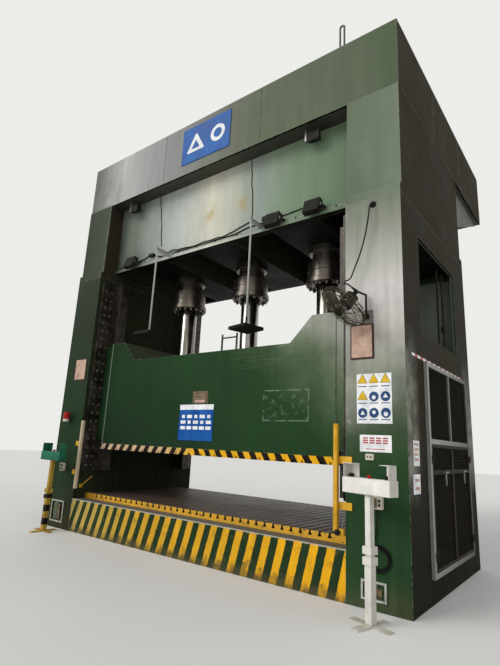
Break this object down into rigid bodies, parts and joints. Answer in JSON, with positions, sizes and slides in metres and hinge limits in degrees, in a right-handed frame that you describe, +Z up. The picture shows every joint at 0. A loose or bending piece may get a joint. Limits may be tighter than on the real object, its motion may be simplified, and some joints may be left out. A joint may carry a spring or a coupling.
{
  "type": "hydraulic press",
  "caption": "Large framed hydraulic forming press: T-slotted table and slide between box columns, plungers from the crown, a guard housing above, side guards and two-hand pedestals",
  "frame": {"origin": "on the floor under the middle of the whole press, pedestals included", "axes": "X along the front from left to right, Y from the operator's side to the back, Z up"},
  "size_m": [6.3706, 5.0232, 7.1093],
  "materials": {
    "green_paint": "satin, oily and dusty",
    "pale_green_paint": "satin, faded",
    "dark_steel": "oily",
    "black_paint": "satin",
    "black_rubber": "matt",
    "hazard_paint": "satin, chipped",
    "guard_aluminium": "satin",
    "oiled_steel": "oily",
    "turquoise_paint": "satin",
    "black_plastic": "matt",
    "red_plastic": "gloss",
    "white_paint": "satin",
    "chrome": "polished",
    "white_plastic": "satin"
  },
  "bodies": {
    "frame": {"bed": "green_paint", "column_left": "green_paint", "column_right": "green_paint", "crown": "pale_green_paint", "cylinder_left": "dark_steel", "cylinder_middle": "dark_steel", "cylinder_right": "dark_steel", "deck": "dark_steel", "fan_bracket": "black_paint", "fan_lead": "black_rubber", "front_apron": "hazard_paint", "guard_housing": "pale_green_paint", "guide_rail_left_front": "oiled_steel", "guide_rail_left_rear": "oiled_steel", "guide_rail_right_front": "oiled_steel", "guide_rail_right_rear": "oiled_steel", "light_curtain_left": "hazard_paint", "light_curtain_right": "hazard_paint", "motor_pump_left": "green_paint", "motor_pump_right": "green_paint", "oil_tank": "pale_green_paint", "pedestal_left_base": "turquoise_paint", "pedestal_right_base": "white_paint", "side_guard_left": "guard_aluminium", "side_guard_right": "guard_aluminium", "socket_box": "white_plastic", "spare_cord": "black_rubber", "spare_cord_coil": "black_rubber", "spare_cord_plug": "black_rubber", "tie_rod_left_front": "oiled_steel", "tie_rod_left_rear": "oiled_steel", "tie_rod_right_front": "oiled_steel", "tie_rod_right_rear": "oiled_steel", "work_light_left": "white_paint", "work_light_right": "white_paint", "worktable": "oiled_steel"},
    "slide": {"slide": "green_paint", "slide_plate": "hazard_paint", "plunger_left": "chrome", "plunger_middle": "chrome", "plunger_right": "chrome"},
    "leaf_left_front": {"guard_leaf_left_front": "guard_aluminium"},
    "leaf_left_rear": {"guard_leaf_left_rear": "guard_aluminium"},
    "leaf_right_front": {"guard_leaf_right_front": "guard_aluminium"},
    "leaf_right_rear": {"guard_leaf_right_rear": "guard_aluminium"},
    "pedestal_left_console": {"pedestal_left_console": "turquoise_paint"},
    "pedestal_left_palm_left": {"pedestal_left_palm_left": "black_plastic"},
    "pedestal_left_palm_right": {"pedestal_left_palm_right": "black_plastic"},
    "pedestal_left_stop": {"pedestal_left_stop": "red_plastic"},
    "pedestal_right_console": {"pedestal_right_console": "white_paint"},
    "pedestal_right_palm_left": {"pedestal_right_palm_left": "black_plastic"},
    "pedestal_right_palm_right": {"pedestal_right_palm_right": "black_plastic"},
    "pedestal_right_stop": {"pedestal_right_stop": "red_plastic"},
    "fan_head": {"fan_head": "black_paint"},
    "fan_blades": {"fan_blades": "black_paint"},
    "floodlight_left": {"floodlight_left": "black_paint"},
    "floodlight_middle": {"floodlight_middle": "black_paint"},
    "floodlight_right": {"floodlight_right": "black_paint"}
  },
  "joints": [
    {"name": "slide_travel", "type": "slide", "parent": "frame", "child": "slide", "axis": [0, 0, 1], "range_m": [-0.32, 0.48]},
    {"name": "leaf_left_front_hinge", "type": "hinge", "parent": "frame", "child": "leaf_left_front", "pos_m": [-3.1516, -1.27115, 0.9], "axis": [0, 0, 1], "range_deg": [0, 110]},
    {"name": "leaf_left_rear_hinge", "type": "hinge", "parent": "frame", "child": "leaf_left_rear", "pos_m": [-3.1516, 0.34435, 0.9], "axis": [0, 0, -1], "range_deg": [0, 110]},
    {"name": "leaf_right_front_hinge", "type": "hinge", "parent": "frame", "child": "leaf_right_front", "pos_m": [3.1516, -1.27115, 0.9], "axis": [0, 0, -1], "range_deg": [0, 110]},
    {"name": "leaf_right_rear_hinge", "type": "hinge", "parent": "frame", "child": "leaf_right_rear", "pos_m": [3.1516, 0.34435, 0.9], "axis": [0, 0, 1], "range_deg": [0, 110]},
    {"name": "pedestal_left_height", "type": "slide", "parent": "frame", "child": "pedestal_left_console", "axis": [0, 0, 1], "range_m": [-0.018, 0.25]},
    {"name": "pedestal_left_palm_left_press", "type": "slide", "parent": "pedestal_left_console", "child": "pedestal_left_palm_left", "axis": [0, 0, -1], "range_m": [0, 0.0055], "stiffness_N_per_m": 1200, "springref_m": -0.004},
    {"name": "pedestal_left_palm_right_press", "type": "slide", "parent": "pedestal_left_console", "child": "pedestal_left_palm_right", "axis": [0, 0, -1], "range_m": [0, 0.0055], "stiffness_N_per_m": 1200, "springref_m": -0.004},
    {"name": "pedestal_left_stop_press", "type": "slide", "parent": "pedestal_left_console", "child": "pedestal_left_stop", "axis": [0, 0, -1], "range_m": [0, 0.0055]},
    {"name": "pedestal_right_height", "type": "slide", "parent": "frame", "child": "pedestal_right_console", "axis": [0, 0, 1], "range_m": [-0.018, 0.25]},
    {"name": "pedestal_right_palm_left_press", "type": "slide", "parent": "pedestal_right_console", "child": "pedestal_right_palm_left", "axis": [0, 0, -1], "range_m": [0, 0.0055], "stiffness_N_per_m": 1200, "springref_m": -0.004},
    {"name": "pedestal_right_palm_right_press", "type": "slide", "parent": "pedestal_right_console", "child": "pedestal_right_palm_right", "axis": [0, 0, -1], "range_m": [0, 0.0055], "stiffness_N_per_m": 1200, "springref_m": -0.004},
    {"name": "pedestal_right_stop_press", "type": "slide", "parent": "pedestal_right_console", "child": "pedestal_right_stop", "axis": [0, 0, -1], "range_m": [0, 0.0055]},
    {"name": "fan_tilt", "type": "hinge", "parent": "frame", "child": "fan_head", "pos_m": [2.6443, -2.12412, 3.11152], "axis": [-0.6743, 0.7385, 0], "range_deg": [-8, 25]},
    {"name": "fan_spin", "type": "hinge", "parent": "fan_head", "child": "fan_blades", "pos_m": [2.552, -2.2084, 2.955], "axis": [-0.4608, -0.4208, -0.7814], "continuous": true},
    {"name": "floodlight_left_tilt", "type": "hinge", "parent": "frame", "child": "floodlight_left", "pos_m": [-1.89, -1.6834, 4.57], "axis": [1, 0, 0], "range_deg": [-45, 15]},
    {"name": "floodlight_middle_tilt", "type": "hinge", "parent": "frame", "child": "floodlight_middle", "pos_m": [1.21, -1.6834, 4.565], "axis": [1, 0, 0], "range_deg": [-45, 15]},
    {"name": "floodlight_right_tilt", "type": "hinge", "parent": "frame", "child": "floodlight_right", "pos_m": [1.85, -1.6834, 4.585], "axis": [1, 0, 0], "range_deg": [-45, 15]}
  ]
}
